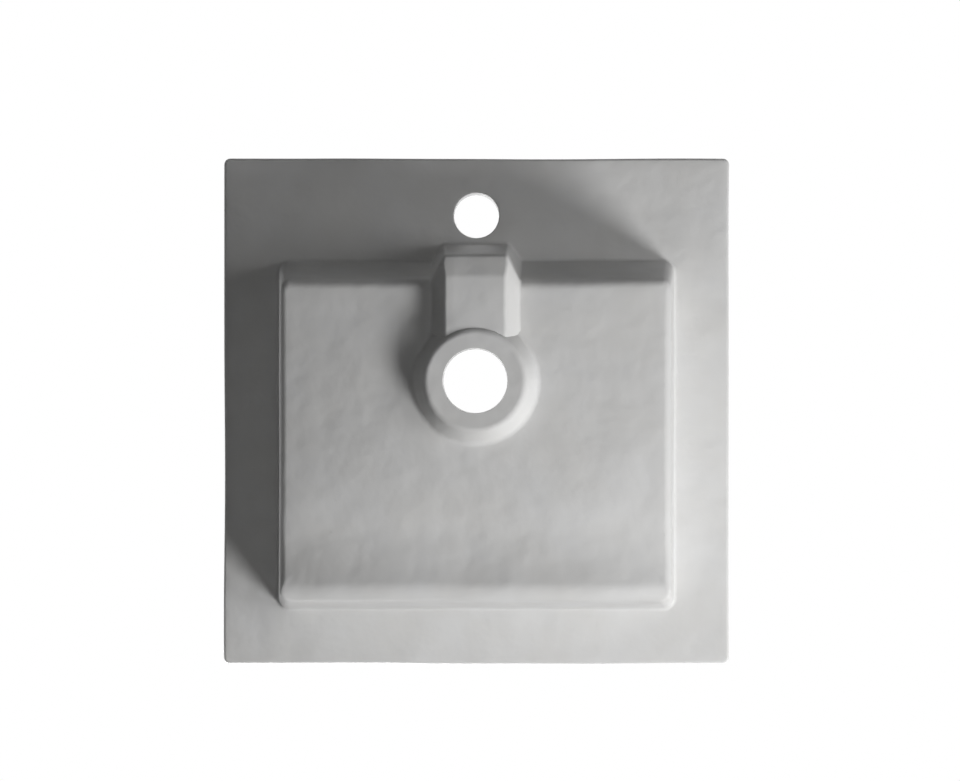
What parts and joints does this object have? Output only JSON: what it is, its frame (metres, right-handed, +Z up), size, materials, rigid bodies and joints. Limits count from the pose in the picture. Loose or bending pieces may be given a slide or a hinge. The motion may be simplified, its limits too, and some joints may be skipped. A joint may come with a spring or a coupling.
{
  "type": "drop-in washbasin",
  "caption": "Square ceramic drop-in washbasin with a flat rim, tap deck, tapered bowl, rear overflow channel and waste boss.",
  "frame": {"origin": "middle of the flat underside of the square rim, which rests on the worktop", "axes": "+Z up out of the worktop, +Y towards the tap deck at the back, +X to the right as seen by a person who stands in front of the basin"},
  "size_m": [0.4, 0.4, 0.136],
  "materials": {
    "rim_glaze": "gloss",
    "bowl_glaze": "gloss",
    "channel_glaze": "gloss",
    "boss_glaze": "gloss"
  },
  "bodies": {
    "root": {"rim_deck": "rim_glaze", "bowl": "bowl_glaze", "overflow_channel": "channel_glaze", "waste_boss": "boss_glaze"}
  },
  "joints": []
}
